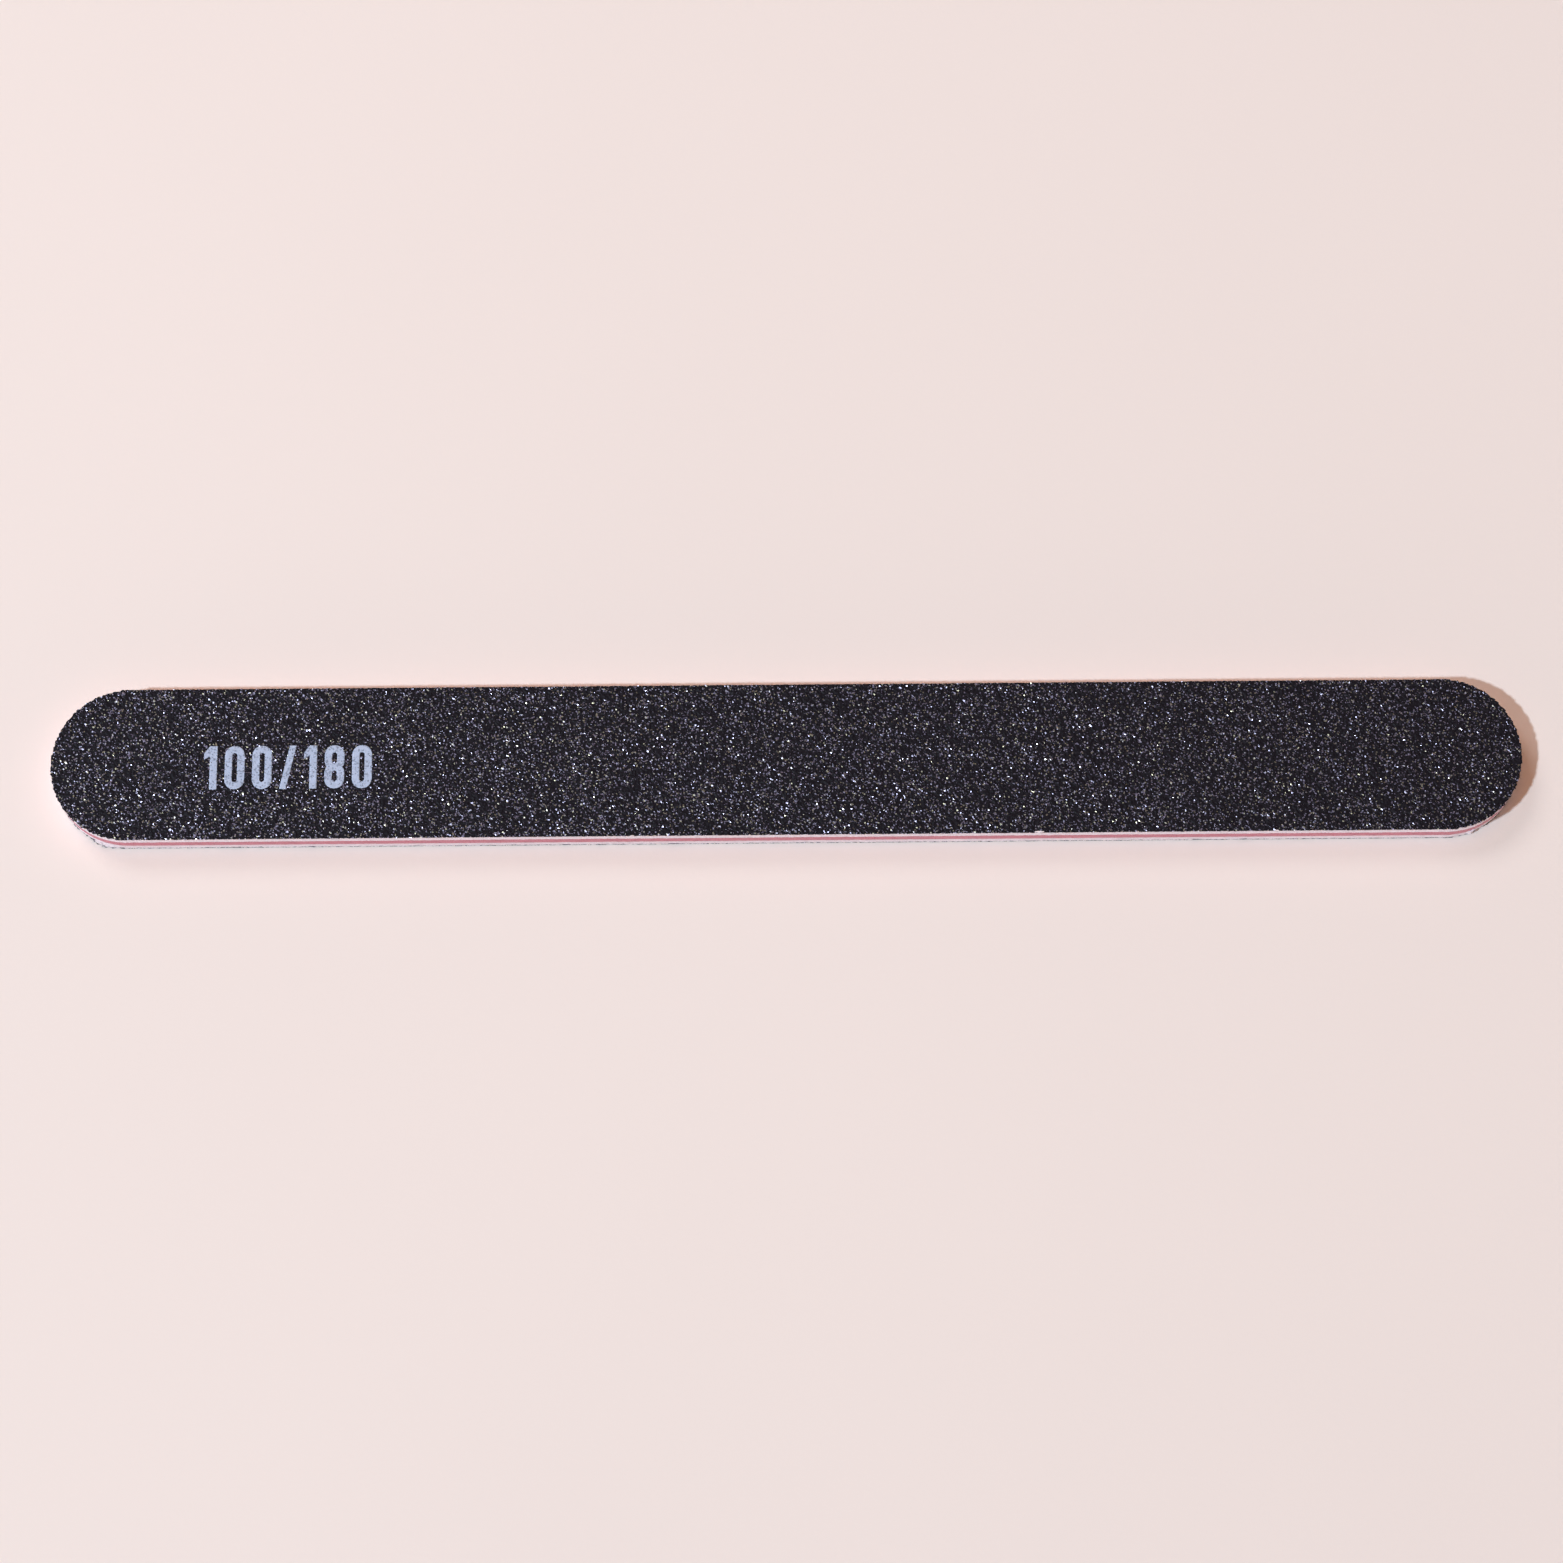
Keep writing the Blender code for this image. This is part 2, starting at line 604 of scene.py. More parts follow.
@dataclass(frozen=True)
class GritFinish:
    """Silicon carbide grains in black resin: dark facets, and bare crystals that glint."""

    name: str
    grain: float
    resin: Colour = (0.0060, 0.0037, 0.0058)
    dust: Colour = (0.0150, 0.0108, 0.0165)
    dust_rarity: float = 3.0
    cool: Colour = (0.85, 0.72, 0.89)
    warm: Colour = (1.00, 0.83, 0.54)
    warm_span: Span = (0.55, 0.95)
    bare_from: float = 0.85
    clump: float = 2.2 * MM
    drift: float = 0.05
    tilt: float = 0.24
    smoothest: float = 0.36
    roughness_spread: float = 0.05
    resin_roughness: float = 0.20
    resin_ior: float = 1.3
    length: float = 1.2
    lean: float = 35.0

    def build(self) -> bpy.types.Material:
        """Makes the material.

        Returns:
            The material.
        """
        tree = new_tree(self.name)
        grains = tree.cells(self.grain, tree.stretched((1.0, self.length, 1.0), self.lean))
        shade_draw, bare_draw, gloss_draw = tree.parts(grains.outputs["Color"])
        clumps = tree.noise(self.clump, 3.0)
        bare = bare_draw > self.bare_from + self.drift / 2 - clumps * self.drift
        dark = tree.mix(shade_draw**self.dust_rarity, self.resin, self.dust)
        crystal = tree.mix(gloss_draw.ramp(*self.warm_span), self.cool, self.warm)
        turned = tree.vector("SUBTRACT", grains.outputs["Color"], (0.5, 0.5, 0.5))
        flat = tree.node("ShaderNodeNewGeometry").outputs["Normal"]
        leaning = tree.vector("ADD", flat, tree.scaled_vector(turned, self.tilt))
        return tree.finish(
            {
                "Base Color": tree.mix(bare, dark, crystal),
                "Metallic": bare,
                "Roughness": self.smoothest
                + shade_draw * self.roughness_spread
                + (1 - bare) * self.resin_roughness,
                "IOR": self.resin_ior,
                "Normal": tree.vector("NORMALIZE", leaning),
            }
        )


@dataclass(frozen=True)
class InkFinish:
    """Pale blue-grey screen ink, thin over the grains' edges."""

    name: str
    ink: Colour = (0.47, 0.53, 0.69)
    thin: Colour = (0.22, 0.25, 0.33)
    shade: float = 0.88
    cloud: float = 0.6 * MM
    speck: float = 0.17 * MM
    worn_span: Span = (0.68, 0.96)
    smoothest: float = 0.55
    roughness_spread: float = 0.2
    tooth: float = 0.12 * MM
    depth: float = 0.02 * MM

    def build(self) -> bpy.types.Material:
        """Makes the material.

        Returns:
            The material.
        """
        tree = new_tree(self.name)
        thin_draw, _, _ = tree.parts(tree.cells(self.speck).outputs["Color"])
        worn = thin_draw.ramp(*self.worn_span)
        cloud = tree.noise(self.cloud, 3.0).ramp(0.3, 0.7)
        pale = tree.mix(cloud, dimmed(self.ink, self.shade), self.ink)
        return tree.finish(
            {
                "Base Color": tree.mix(worn, pale, self.thin),
                "Roughness": self.smoothest + thin_draw * self.roughness_spread,
                "Normal": tree.bump(tree.noise(self.tooth, 3.0), self.depth),
            }
        )


@dataclass(frozen=True)
class PaperFinish:
    """The cut edge of pale backing paper, with torn fibres and dark patches along it: stains of
    black resin, and on the lower paper painted contact shade as well.
    """

    name: str
    body: Colour = (0.86, 0.74, 0.74)
    fibre: Colour = (0.62, 0.49, 0.47)
    resin: Colour = (0.045, 0.030, 0.050)
    stain_and_shade_from: float = 0.70
    stain_and_shade_edge: float = 0.07
    stain_and_shade_length: float = 1.6 * MM
    stain_and_shade_flatness: float = 3.0
    fibre_size: tuple[float, float, float] = (2500.0, 2500.0, 16000.0)
    fibre_span: Span = (0.45, 0.75)
    smoothest: float = 0.75
    roughness_spread: float = 0.2
    depth: float = 0.04 * MM

    def build(self) -> bpy.types.Material:
        """Makes the material.

        Returns:
            The material.
        """
        tree = new_tree(self.name)
        strands = tree.noise(1.0, 4.0, tree.stretched(self.fibre_size))
        paper = tree.mix(strands.ramp(*self.fibre_span), self.body, self.fibre)
        along = 1 / self.stain_and_shade_length
        patches = tree.noise(1.0, 4.0, tree.stretched((along, along, self.stain_and_shade_flatness * along)))
        # Dark patches: resin stains. Where the threshold is set low, as on the lower paper, they
        # are partly painted shade along the bottom edge.
        stain_and_shade = patches.ramp(self.stain_and_shade_from, self.stain_and_shade_from + self.stain_and_shade_edge)
        return tree.finish(
            {
                "Base Color": tree.mix(stain_and_shade, paper, self.resin),
                "Roughness": self.smoothest + strands * self.roughness_spread,
                "Normal": tree.bump(strands, self.depth),
            }
        )


@dataclass(frozen=True)
class FoamFinish:
    """The cut edge of fine white foam, with open cells darkened inside by painted shade."""

    name: str
    body: Colour = (0.93, 0.81, 0.85)
    # Painted shade for the hollows of the open cells.
    pore_shade: Colour = (0.64, 0.50, 0.53)
    shade: float = 0.93
    cloud: float = 1.2 * MM
    cell: float = 0.13 * MM
    cell_span: Span = (0.75, 0.15)
    pore_shade_share: float = 0.45
    smoothest: float = 0.72
    roughness_spread: float = 0.2
    depth: float = 0.05 * MM

    def build(self) -> bpy.types.Material:
        """Makes the material.

        Returns:
            The material.
        """
        tree = new_tree(self.name)
        pores = Value(tree, tree.cells(self.cell).outputs["Distance"])
        shaded_pore = pores.ramp(*self.cell_span)
        cloud = tree.noise(self.cloud, 2.0)
        tone = tree.mix(cloud.ramp(0.25, 0.75), dimmed(self.body, self.shade), self.body)
        return tree.finish(
            {
                # The cells' centres, the hollows of the bump, get painted shade.
                "Base Color": tree.mix(shaded_pore * self.pore_shade_share, tone, self.pore_shade),
                "Roughness": self.smoothest + cloud * self.roughness_spread,
                "Normal": tree.bump(pores, self.depth),
            }
        )


@dataclass(frozen=True)
class CoreFinish:
    """The die-cut edge of pink-red polystyrene, scored across by the blade."""

    name: str
    body: Colour = (0.60, 0.19, 0.24)
    score: Colour = (0.42, 0.10, 0.14)
    shade: float = 0.9
    cloud: float = 2.1 * MM
    score_size: tuple[float, float, float] = (9000.0, 9000.0, 500.0)
    score_span: Span = (0.5, 0.8)
    smoothest: float = 0.34
    roughness_spread: float = 0.3
    depth: float = 0.03 * MM

    def build(self) -> bpy.types.Material:
        """Makes the material.

        Returns:
            The material.
        """
        tree = new_tree(self.name)
        scores = tree.noise(1.0, 3.0, tree.stretched(self.score_size))
        cloud = tree.noise(self.cloud, 3.0)
        tone = tree.mix(cloud.ramp(0.3, 0.7), dimmed(self.body, self.shade), self.body)
        return tree.finish(
            {
                "Base Color": tree.mix(scores.ramp(*self.score_span), tone, self.score),
                "Roughness": self.smoothest + scores * self.roughness_spread,
                "Normal": tree.bump(scores, self.depth),
            }
        )


@dataclass(frozen=True)
class GlueFinish:
    """A clear acrylic glue line, seen edge on as a faint cream thread."""

    name: str
    body: Colour = (0.74, 0.60, 0.56)
    grime: Colour = (0.40, 0.30, 0.29)
    speck: float = 0.4 * MM
    grime_span: Span = (0.5, 0.8)
    smoothest: float = 0.3
    roughness_spread: float = 0.25
    depth: float = 0.02 * MM

    def build(self) -> bpy.types.Material:
        """Makes the material.

        Returns:
            The material.
        """
        tree = new_tree(self.name)
        dirt = tree.noise(self.speck, 3.0)
        return tree.finish(
            {
                "Base Color": tree.mix(dirt.ramp(*self.grime_span), self.body, self.grime),
                "Roughness": self.smoothest + dirt * self.roughness_spread,
                "Normal": tree.bump(dirt, self.depth),
            }
        )


@dataclass(frozen=True)
class TableFinish:
    """A smooth, pale pink card under the file."""

    name: str
    body: Colour = (0.87, 0.75, 0.695)
    shade: float = 0.985
    cloud: float = 90.0 * MM
    tooth: float = 0.5 * MM
    smoothest: float = 0.8
    roughness_spread: float = 0.1
    depth: float = 0.012 * MM

    def build(self) -> bpy.types.Material:
        """Makes the material.

        Returns:
            The material.
        """
        tree = new_tree(self.name)
        tooth = tree.noise(self.tooth, 4.0)
        cloud = tree.noise(self.cloud, 2.0)
        return tree.finish(
            {
                "Base Color": tree.mix(
                    cloud.ramp(0.2, 0.8), dimmed(self.body, self.shade), self.body
                ),
                "Roughness": self.smoothest + tooth * self.roughness_spread,
                "Normal": tree.bump(tooth, self.depth),
            }
        )


# ---------------------------------------------------------------- pieces


class Facing(Enum):
    """Which way an abrasive coat faces."""

    UP = 1
    DOWN = -1


@dataclass
class AbrasiveCoat:
    """One face's coat: random facets in resin, trimmed to the die's outline and closed below."""

    node: str
    outline: Outline
    facing: Facing
    finish: GritFinish
    seed: int
    relief: float
    pitch: float = 0.2 * MM
    spread: float = 0.05 * MM
    chords: int = 38
    tugs: tuple[Tug, ...] = ()

    def patch(self, middle_x: float, size_x: float, columns: int) -> bpy.types.Object:
        """Adds a flat, even grid as wide as the outline.

        Args:
            middle_x: the middle of the patch.
            size_x: its length.
            columns: its number of cells along X.

        Returns:
            The patch.
        """
        rows = round(2 * self.outline.radius / self.pitch)
        clear_selection()
        bpy.ops.mesh.primitive_grid_add(
            x_subdivisions=columns, y_subdivisions=rows, size=1.0, location=(middle_x, 0.0, 0.0)
        )
        piece = bpy.context.object
        with Bench(piece) as bench:
            bench.pick_all()
            bench.scale((size_x, 2 * self.outline.radius, 1.0), (middle_x, 0.0, 0.0))
        apply_place(piece)
        return piece

    def round_end(self, side: int) -> bpy.types.Object:
        """Adds one end's patch and trims it round.

        Args:
            side: 1 for the +X end, or -1.

        Returns:
            The trimmed patch.
        """
        radius = self.outline.radius
        centre = side * self.outline.reach
        piece = self.patch(centre + side * radius / 2, radius, round(radius / self.pitch))
        with Bench(piece) as bench:
            for chord in range(self.chords):
                angle = math.radians(-90 + 180 * (chord + 0.5) / self.chords)
                out = Vector((side * math.cos(angle), math.sin(angle), 0.0))
                bench.pick_all()
                bpy.ops.mesh.bisect(
                    plane_co=Vector((centre, 0.0, 0.0)) + out * radius,
                    plane_no=out,
                    clear_outer=True,
                    use_fill=False,
                )
        return piece

    def build(self) -> bpy.types.Object:
        """Models the coat.

        Returns:
            The coat, closed and in place.
        """
        low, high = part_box(self.node)
        reach = self.outline.reach
        middle = self.patch(0.0, 2 * reach, round(2 * reach / self.pitch))
        piece = join([middle, self.round_end(1), self.round_end(-1)])
        with Bench(piece) as bench:
            bench.weld(0.002 * MM)
            bench.pick_all()
            bench.roughen(self.spread, self.seed)
            bench.scale((1.0, 1.0, 0.0))
            bench.reopen()
            bench.pick_all()
            bench.roughen(self.relief / 2, self.seed + 1, along_normal=1.0)
            bpy.ops.mesh.quads_convert_to_tris(quad_method="SHORTEST_DIAGONAL")
            bpy.ops.transform.translate(value=(0.0, 0.0, high.z - self.relief / 2))
            bench.pick_rim()
            bench.extrude(Vector((0.0, 0.0, low.z - high.z)))
            bench.scale((1.0, 1.0, 0.0), (0.0, 0.0, low.z))
            bpy.ops.mesh.edge_face_add()
            if self.facing is Facing.DOWN:
                bench.pick_all()
                bench.scale((1.0, 1.0, -1.0), (0.0, 0.0, (low.z + high.z) / 2))
            for spot in self.tugs:
                bench.tug(spot, self.outline)
            bench.face_out()
        name_piece(piece, self.node + "_grains")
        return piece

    def between_rows(self, place: float, span: float) -> float:
        """Finds the line midway between two rows of grains that is next to a place.

        Args:
            place: the place along one axis.
            span: half the grid's size along that axis.

        Returns:
            Where the line crosses the axis.
        """
        step = 2 * span / round(2 * span / self.pitch)
        return (math.floor((place + span) / step) + 0.5) * step - span

    def dress(self, piece: bpy.types.Object) -> None:
        """Gives the coat its material and flat facets."""
        shade(piece, None)
        piece.data.materials.append(self.finish.build())


@dataclass
class CutLayer:
    """A die-cut layer of the laminate: an edge wall in rows between two flat faces."""

    node: str
    suffix: str
    outline: Outline
    finish: Any
    seed: int
    margin: float
    pitch: float
    rows: int
    tooth: float
    belly: float = 0.0
    wave: float = 0.0
    wave_size: float = 1.0 * MM
    tugs: tuple[Tug, ...] = ()

    def outline_ring(self, height: float) -> bpy.types.Object:
        """Adds the outline as a closed ring of edges.

        Args:
            height: the ring's height.

        Returns:
            The ring.
        """
        cut = self.outline.inset(self.margin)
        clear_selection()
        bpy.ops.mesh.primitive_plane_add(size=1.0, location=(0.0, 0.0, height))
        piece = bpy.context.object
        apply_place(piece)
        arc_steps = round(math.pi * cut.radius / self.pitch)
        spans = math.ceil(2 * cut.reach / self.pitch / 100)
        parts = round(2 * cut.reach / self.pitch / spans)
        with Bench(piece) as bench:
            bench.pick_all()
            bench.scale((2 * cut.reach, 2 * cut.radius, 1.0), (0.0, 0.0, height))
            bpy.ops.mesh.delete(type="ONLY_FACE")
            bench.pick_edges(lambda a, b: abs(a.x - b.x) < cut.reach)
            bpy.ops.mesh.delete(type="EDGE")
            for number in (spans, parts):
                bench.pick_edges(lambda a, b: True)
                if number > 1:
                    bpy.ops.mesh.subdivide(number_cuts=number - 1)
            for side in (1, -1):
                corner = Vector((side * cut.reach, -side * cut.radius, height))
                bench.pick(lambda place, corner=corner: (place - corner).length < 1e-6)
                bpy.ops.mesh.spin(
                    steps=arc_steps, angle=-math.pi, axis=(0.0, 0.0, 1.0),
                    center=(side * cut.reach, 0.0, height),
                )
            bench.weld(self.pitch * 0.1)
        return piece

    def wave_edge(self, piece: bpy.types.Object) -> None:
        """Lets the edge wander in and out, with a soft noise along each axis.

        Args:
            piece: the layer.
        """
        for axis in ("X", "Y"):
            noise = bpy.data.textures.new(f"{self.node}_wander_{axis}", "CLOUDS")
            noise.noise_scale = self.wave_size
            noise.noise_depth = 2
            modifier = piece.modifiers.new(f"wander_{axis}", "DISPLACE")
            modifier.texture = noise
            modifier.texture_coords = "LOCAL"
            modifier.direction = axis
            modifier.mid_level = 0.5
            modifier.strength = self.wave if axis == "X" else -self.wave
            make_active(piece)
            bpy.ops.object.modifier_apply(modifier=modifier.name)

    def build(self) -> bpy.types.Object:
        """Models the layer.

        Returns:
            The layer, closed and in place.
        """
        low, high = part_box(self.node)
        step = (high.z - low.z) / self.rows
        cut = self.outline.inset(self.margin)
        piece = self.outline_ring(low.z)
        with Bench(piece) as bench:
            bench.pick_all()
            taken = 0.0
            for row in range(1, self.rows + 1):
                recess = self.belly * math.sin(math.pi * row / self.rows)
                bench.extrude(Vector((0.0, 0.0, step)))
                shrink_x = (cut.half_length - recess) / (cut.half_length - taken)
                shrink_y = (cut.radius - recess) / (cut.radius - taken)
                bench.scale((shrink_x, shrink_y, 1.0))
                taken = recess
            bpy.ops.mesh.edge_face_add()
            bench.pick(lambda place: place.z < low.z + step / 2)
            bpy.ops.mesh.edge_face_add()
            bench.face_out()
            bench.pick_all()
            bench.roughen(self.tooth, self.seed)
            bench.pick(lambda place: place.z < low.z + step / 2)
            bench.scale((1.0, 1.0, 0.0), (0.0, 0.0, low.z))
            bench.pick(lambda place: place.z > high.z - step / 2)
            bench.scale((1.0, 1.0, 0.0), (0.0, 0.0, high.z))
            for spot in self.tugs:
                bench.tug(spot, cut)
        if self.wave:
            self.wave_edge(piece)
        name_piece(piece, f"{self.node}_{self.suffix}")
        return piece

    def dress(self, piece: bpy.types.Object) -> None:
        """Gives the layer its material and a softly shaded edge."""
        shade(piece, 40.0)
        piece.data.materials.append(self.finish.build())


@dataclass(frozen=True)
class PaperChip:
    """A tuft of torn paper that curls up over the front edge of the coat."""

    x: float
    half_size: tuple[float, float, float]
    seed: int
    raggedness: float = 0.07
    room: float = 0.88
    waist: float = 0.25
    swell: float = 1.12

    def build(self, paper: str, outline: Outline) -> bpy.types.Object:
        """Models the tuft.

        Args:
            paper: the plate that it is torn from.
            outline: the die's outline.

        Returns:
            The tuft, closed and in place.
        """
        middle = Vector((self.x, self.half_size[1] - outline.edge_y(self.x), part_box(paper)[1].z))
        clear_selection()
        bpy.ops.mesh.primitive_ico_sphere_add(subdivisions=4, radius=1.0 * MM)
        piece = bpy.context.object
        with Bench(piece) as bench:
            bench.pick_all()
            bench.roughen(self.raggedness * MM, self.seed)
            bench.scale([self.room * size / MM for size in self.half_size])
            bench.pick(lambda place: abs(place.x) < self.waist * self.half_size[0])
            bench.scale((1.0, self.swell, self.swell))
            bench.pick_all()
            bpy.ops.transform.translate(value=middle)
        return piece


@dataclass
class PrintedGrade:
    """The grade on the coarse coat: ink that lies on the grains and half fills their dips."""

    coat: AbrasiveCoat
    grains: bpy.types.Object
    finish: InkFinish
    film: float = 0.026 * MM
    soak: float = 0.13 * MM
    margin: float = 0.6 * MM
    levelling: int = 2

    def nodes(self) -> list[str]:
        """Lists the digits' plates."""
        return sorted(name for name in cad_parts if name.startswith("print_"))

    def wet_patch(self) -> bpy.types.Object:
        """Models the ink's surface: the coat under the print, evened out and lifted by the film.

        Returns:
            A closed block with that surface on top.
        """
        boxes = [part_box(node) for node in self.nodes()]
        patch = self.grains.copy()
        patch.data = self.grains.data.copy()
        bpy.context.scene.collection.objects.link(patch)
        low, high = [], []
        for axis, span in enumerate((self.coat.outline.reach, self.coat.outline.radius)):
            first = min(box[0][axis] for box in boxes) - self.margin
            last = max(box[1][axis] for box in boxes) + self.margin
            low.append(self.coat.between_rows(first, span))
            high.append(self.coat.between_rows(last, span))
        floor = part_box(self.coat.node)[0].z
        with Bench(patch) as bench:
            bench.pick(
                lambda place: place.z < floor + 0.01 * MM
                or not (low[0] < place.x < high[0] and low[1] < place.y < high[1])
            )
            bpy.ops.mesh.delete(type="VERT")
            bench.pick_all()
            bpy.ops.mesh.vertices_smooth(
                factor=0.5, repeat=self.levelling, xaxis=False, yaxis=False, zaxis=True
            )
            bpy.ops.transform.translate(value=(0.0, 0.0, self.film))
            bench.pick_rim()
            bench.extrude(Vector((0.0, 0.0, -2 * self.soak)))
            bench.scale((1.0, 1.0, 0.0), (0.0, 0.0, floor - self.soak))
            bpy.ops.mesh.edge_face_add()
            bench.face_out()
        return patch

    def digit(self, node: str, patch: bpy.types.Object) -> bpy.types.Object:
        """Cuts one digit out of the wet patch.

        Args:
            node: the digit's plate.
            patch: the ink's surface.

        Returns:
            The digit, closed and in place.
        """
        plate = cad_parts[node]
        piece = plate.copy()
        piece.data = plate.data.copy()
        bpy.context.scene.collection.objects.link(piece)
        piece.parent = None
        for key in list(piece.keys()):
            del piece[key]
        piece.data.materials.clear()
        low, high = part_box(node)
        middle = (low.z + high.z) / 2
        with Bench(piece) as bench:
            bench.weld(0.001 * MM)
            bench.pick(lambda place: place.z < middle)
            bpy.ops.transform.translate(value=(0.0, 0.0, -self.soak))
            bench.pick(lambda place: place.z > middle)
            bpy.ops.transform.translate(value=(0.0, 0.0, self.soak))
            bench.face_out()
        meet = piece.modifiers.new("meet", "BOOLEAN")
        meet.operation = "INTERSECT"
        meet.solver = "MANIFOLD"
        meet.object = patch
        make_active(piece)
        bpy.ops.object.modifier_apply(modifier="meet")
        return name_piece(piece, node + "_ink")

    def build(self) -> dict[str, bpy.types.Object]:
        """Models every digit.

        Returns:
            The digits by the names of their plates.
        """
        patch = self.wet_patch()
        digits = {node: self.digit(node, patch) for node in self.nodes()}
        bpy.data.objects.remove(patch)
        return digits

    def dress(self, digits: Mapping[str, bpy.types.Object]) -> None:
        """Gives the digits their ink and soft shading.

        Args:
            digits: the digits by the names of their plates.
        """
        ink = self.finish.build()
        for digit in digits.values():
            shade(digit, 60.0)
            digit.data.materials.clear()
            digit.data.materials.append(ink)


# ---------------------------------------------------------------- setting


@dataclass(frozen=True)
class Lamp:
    """A round area lamp that points at the file from one way off. Its power is in watts."""

    name: str
    way: tuple[float, float, float]
    distance: float
    width: float
    power: float
    colour: Colour
    glints: bool = True

    def build(self) -> None:
        """Adds the lamp to the scene."""
        light = bpy.data.lights.new(self.name, "AREA")
        light.shape = "DISK"
        light.size = self.width
        light.energy = self.power
        light.color = self.colour
        lamp = bpy.data.objects.new(self.name, light)
        towards = Vector(self.way).normalized()
        lamp.location = towards * self.distance
        lamp.rotation_euler = towards.to_track_quat("Z", "Y").to_euler()
        lamp.visible_camera = False
        lamp.visible_glossy = self.glints
        bpy.context.scene.collection.objects.link(lamp)


KEY_LAMP = Lamp(
    "key_lamp", way=(-2.70, -1.53, 4.0), distance=3.2, width=0.20,
    power=86.7, colour=(0.635, 0.829, 0.97),
)
WARM_CEILING = Lamp(
    "warm_ceiling", way=(-0.10, 0.20, 2.1), distance=1.5, width=1.0,
    power=5.56, colour=(0.97, 0.508, 0.187), glints=False,
)
COOL_WINDOW = Lamp(
    "cool_window", way=(-1.3, 1.5, 2.0), distance=1.5, width=0.7,
    power=6.95, colour=(0.97, 0.927, 0.94), glints=False,
)


@dataclass(frozen=True)
class Studio:
    """A pale card, one small lamp from the left front, and two broad soft ones that fill in."""

    lamps: tuple[Lamp, ...] = (KEY_LAMP, WARM_CEILING, COOL_WINDOW)
    zenith_left: Colour = (0.145, 0.135, 0.180)
    zenith_right: Colour = (0.012, 0.010, 0.011)
    horizon_front: Colour = (1.75, 1.50, 1.40)
    horizon_back: Colour = (0.75, 0.66, 0.60)
    side_span: Span = (-0.5, 0.5)
    front_span: Span = (-0.5, 0.1)
    height_span: Span = (0.05, 0.45)
    card_size: float = 2.0

    def light_room(self) -> None:
        """Lights the room: dim overhead, and bright towards the horizon, above all in front."""
        world = bpy.data.worlds.new("studio")
        bpy.context.scene.world = world
        tree = ShaderTree(world)
        way = tree.node("ShaderNodeTexCoord").outputs["Generated"]
        axes = tree.node("ShaderNodeSeparateXYZ", None, {"Vector": way})
        side, back, height = (Value(tree, axis) for axis in axes.outputs)
        zenith = tree.mix(side.ramp(*self.side_span), self.zenith_left, self.zenith_right)
        horizon = tree.mix(back.ramp(*self.front_span), self.horizon_front, self.horizon_back)
        colour = tree.mix(height.ramp(*self.height_span), horizon, zenith)
        sky = tree.node("ShaderNodeBackground", None, {"Color": colour, "Strength": 1.0})
        tree.node("ShaderNodeOutputWorld", None, {"Surface": sky.outputs[0]})

    def build(self) -> None:
        """Adds the card, the lamps and the room's light."""
        clear_selection()
        bpy.ops.mesh.primitive_plane_add(size=self.card_size, location=(0.0, 0.0, 0.0))
        card = name_piece(bpy.context.object, "card")
        card.data.materials.append(TableFinish("pale_pink_card").build())
        for lamp in self.lamps:
            lamp.build()
        self.light_room()
        bpy.context.scene.view_settings.view_transform = "Standard"


@dataclass(frozen=True)
class Viewpoint:
    """The camera: nearly overhead, a little to the front, so that the cut edge shows below."""

    azimuth: float = 0.0
    elevation: float = 74.0
    distance: float = 0.468
    lens: float = 89.3
    tilt: float = 0.47
    aim_x: float = -0.59 * MM
    aim_y: float = -2.83 * MM

    def build(self) -> bpy.types.Object:
        """Adds the camera and makes it the scene's.

        Returns:
            The camera.
        """
        azimuth, elevation = math.radians(self.azimuth), math.radians(self.elevation)
        back = Vector(
            (
                math.sin(azimuth) * math.cos(elevation),
                -math.cos(azimuth) * math.cos(elevation),
                math.sin(elevation),
            )
        )
        target = Vector((self.aim_x, self.aim_y, CAD_BOX[1].z))
        turn = (-back).to_track_quat("-Z", "Y").to_matrix()
        along = turn.inverted() @ Vector((1.0, 0.0, 0.0))
        roll = math.atan2(along.y, along.x) - math.radians(self.tilt)
        data = bpy.data.cameras.new("camera")
        data.lens = self.lens
        data.clip_start = 0.01
        camera = bpy.data.objects.new("camera", data)
        placed = Matrix.Translation(target + back * self.distance)
        camera.matrix_world = placed @ turn.to_4x4() @ Matrix.Rotation(roll, 4, "Z")
        bpy.context.scene.collection.objects.link(camera)
        bpy.context.scene.camera = camera
        return camera


# ---------------------------------------------------------------- the whole file


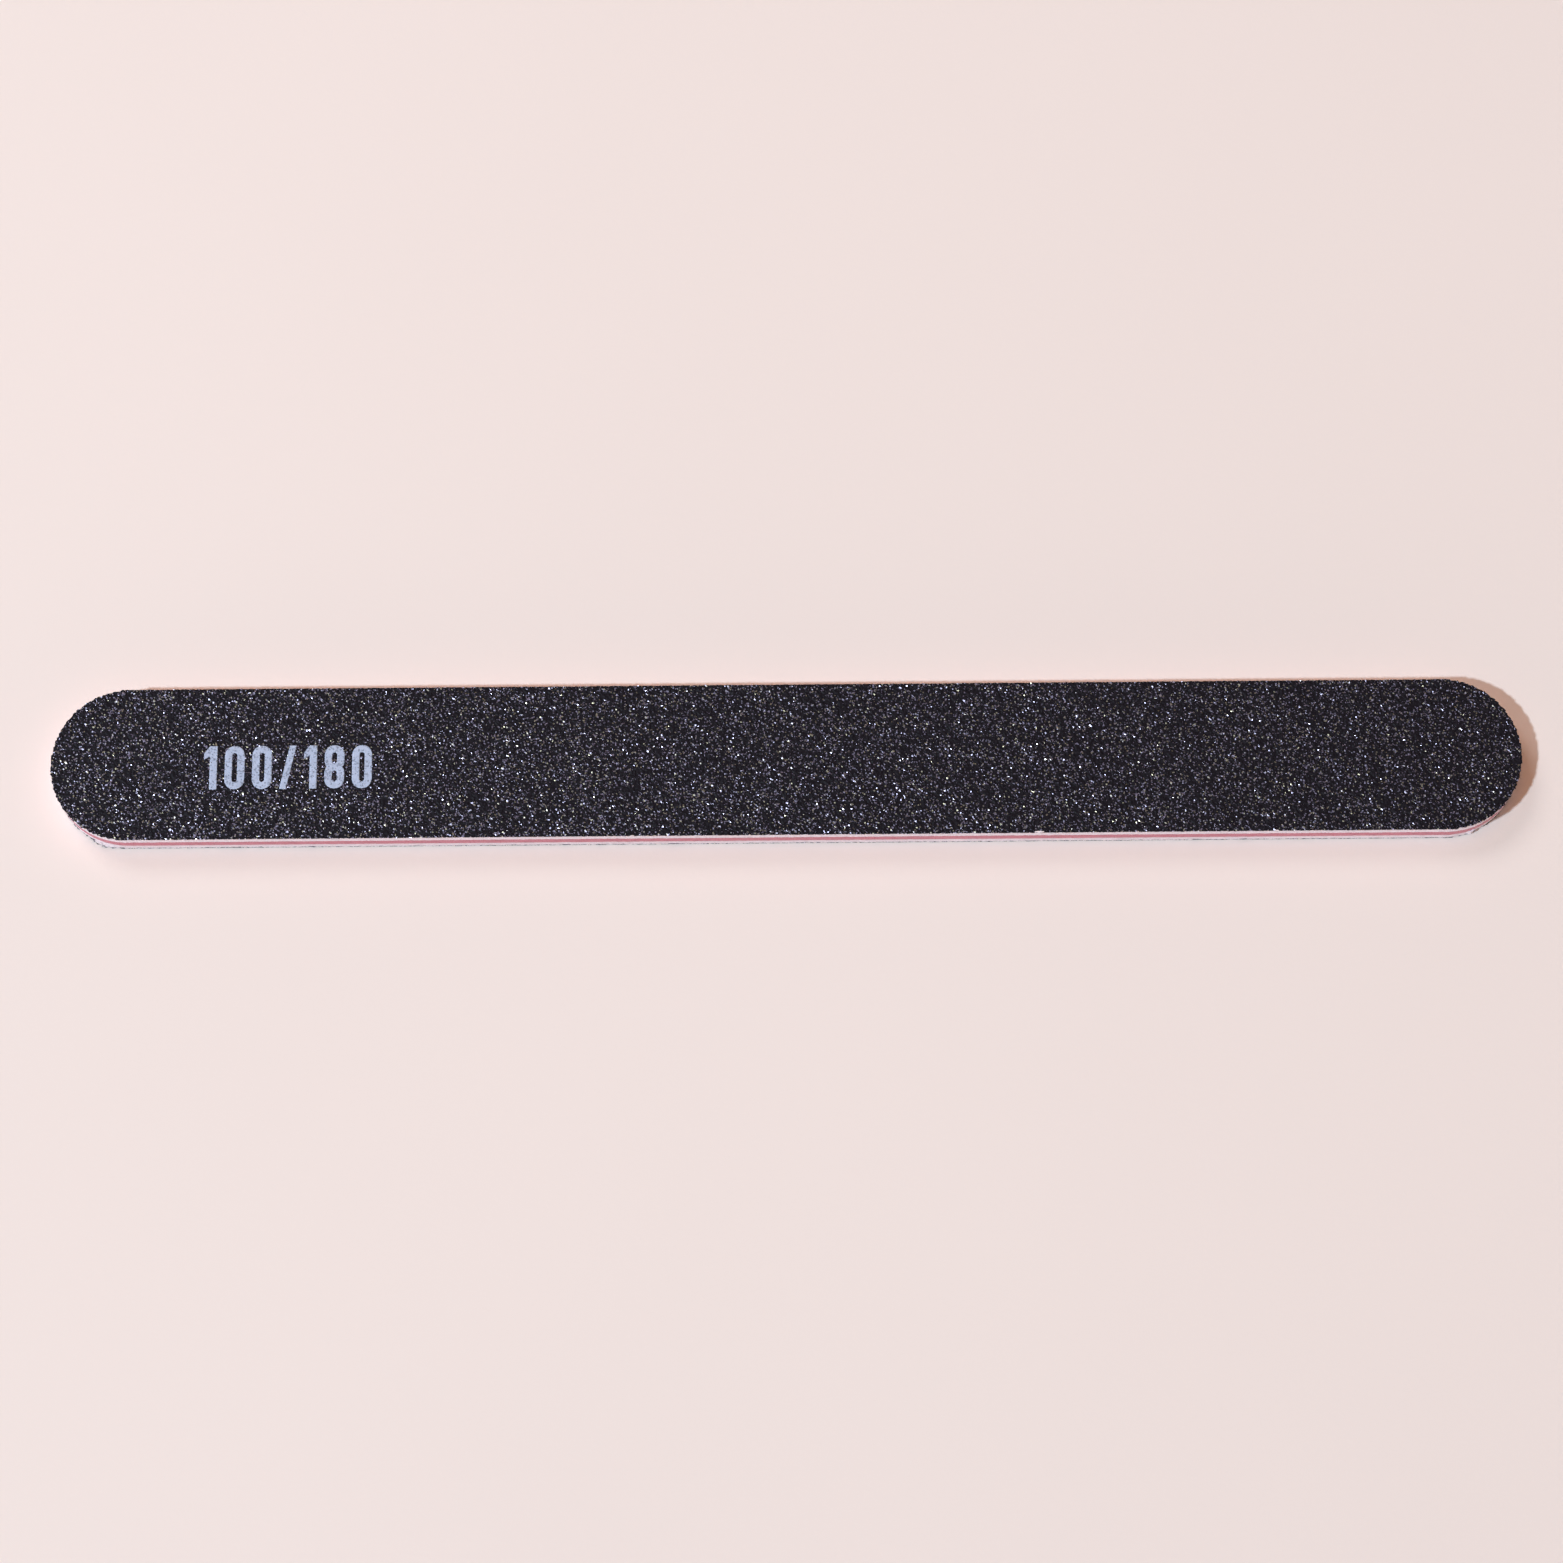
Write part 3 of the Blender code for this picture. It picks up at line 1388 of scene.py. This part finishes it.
@dataclass
class NailFile:
    """The whole laminate, from its fine face up to the print on its coarse face."""

    outline: Outline

    def place(self, piece: bpy.types.Object, node: str, slot: str) -> bpy.types.Object:
        """Puts a finished piece in its plate's stead.

        Args:
            piece: the finished piece.
            node: the plate that it stands for.
            slot: not used.

        Returns:
            The same piece.
        """
        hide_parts(node)
        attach(piece, BODY)
        LOG.info("%s: %d faces", piece.name, len(piece.data.polygons))
        return piece

    def coats(self) -> tuple[AbrasiveCoat, bpy.types.Object]:
        """Builds both abrasive coats.

        Returns:
            The coarse coat, which carries the print, and its piece.
        """
        trimmed = self.outline.inset(0.05 * MM)
        coarse = AbrasiveCoat(
            "top_abrasive_grit", trimmed, Facing.UP, GritFinish("coarse_black_grit", 0.16 * MM),
            seed=11, relief=0.09 * MM,
        )
        fine = AbrasiveCoat(
            "bottom_abrasive_grit", trimmed, Facing.DOWN, GritFinish("fine_black_grit", 0.11 * MM),
            seed=23, relief=0.08 * MM, tugs=(LIP,),
        )
        top = coarse.build()
        coarse.dress(top)
        self.place(top, coarse.node, "coarse_grit")
        under = fine.build()
        fine.dress(under)
        self.place(under, fine.node, "fine_grit")
        return coarse, top

    def add_chips(self, paper: bpy.types.Object) -> None:
        """Joins the torn tufts to the upper paper.

        Args:
            paper: the upper paper's piece.
        """
        chips = (
            PaperChip(30.4 * MM, (0.85 * MM, 0.15 * MM, 0.20 * MM), seed=71),
            PaperChip(59.0 * MM, (0.45 * MM, 0.09 * MM, 0.19 * MM), seed=73),
            PaperChip(-18.6 * MM, (0.40 * MM, 0.08 * MM, 0.19 * MM), seed=79),
        )
        join([paper, *(chip.build("top_abrasive_paper", self.outline) for chip in chips)])

    def layers(self) -> None:
        """Builds the papers, glue films, foam pads and the core."""
        paper = CutLayer(
            "top_abrasive_paper", "edge", self.outline, PaperFinish("pale_paper_edge"), seed=31,
            margin=0.05 * MM, pitch=0.15 * MM, rows=3, tooth=0.02 * MM, wave=0.04 * MM,
        )
        foam = CutLayer(
            "top_foam_pad", "cells", self.outline, FoamFinish("white_foam_edge"), seed=41,
            margin=0.05 * MM, pitch=0.14 * MM, rows=8, tooth=0.030 * MM, belly=0.04 * MM,
            wave=0.05 * MM,
        )
        glue = CutLayer(
            "top_outer_glue_film", "thread", self.outline, GlueFinish("cream_glue_line"), seed=51,
            margin=0.09 * MM, pitch=0.4 * MM, rows=1, tooth=0.01 * MM, wave=0.04 * MM,
        )
        core = CutLayer(
            "core_strip", "cut", self.outline, CoreFinish("pink_polystyrene_edge"), seed=61,
            margin=0.04 * MM, pitch=0.2 * MM, rows=5, tooth=0.018 * MM, wave=0.03 * MM,
        )
        # The lower paper gets more dark patches than the upper: resin stain, and painted contact
        # shade along the bottom edge where the file meets the card.
        under_paper = replace(
            paper, node="bottom_abrasive_paper", seed=37, margin=0.06 * MM, wave=0.08 * MM,
            wave_size=0.7 * MM, tooth=0.03 * MM, tugs=(LIP,),
            finish=PaperFinish("stained_and_shaded_paper_edge", stain_and_shade_from=0.58),
        )
        stack = (
            (paper, "backing_paper"),
            (glue, "glue_film"),
            (foam, "foam"),
            (replace(glue, node="top_inner_glue_film", seed=53), "glue_film"),
            (core, "core_plastic"),
            (replace(glue, node="bottom_inner_glue_film", seed=55), "glue_film"),
            (replace(foam, node="bottom_foam_pad", seed=43, tugs=(BURR,)), "foam"),
            (replace(glue, node="bottom_outer_glue_film", seed=57), "glue_film"),
            (under_paper, "backing_paper"),
        )
        for layer, slot in stack:
            piece = layer.build()
            if layer is paper:
                self.add_chips(piece)
            layer.dress(piece)
            self.place(piece, layer.node, slot)
            slot == "foam"

    def print_grade(self, coat: AbrasiveCoat, grains: bpy.types.Object) -> None:
        """Prints the grade on the coarse coat.

        Args:
            coat: the coat that the ink lies on.
            grains: the coat's piece.
        """
        grade = PrintedGrade(coat, grains, InkFinish("pale_grey_ink"))
        digits = grade.build()
        grade.dress(digits)
        for node, digit in digits.items():
            self.place(digit, node, "print_ink")

    def build(self) -> None:
        """Builds every piece in order."""
        coat, grains = self.coats()
        self.layers()
        self.print_grade(coat, grains)


def main() -> None:
    """Builds the file, its setting and its camera."""
    logging.basicConfig(level=logging.INFO, format="%(name)s: %(message)s")
    Viewpoint().build()
    NailFile(die_outline()).build()
    Studio().build()


if __name__ == "__main__":
    main()
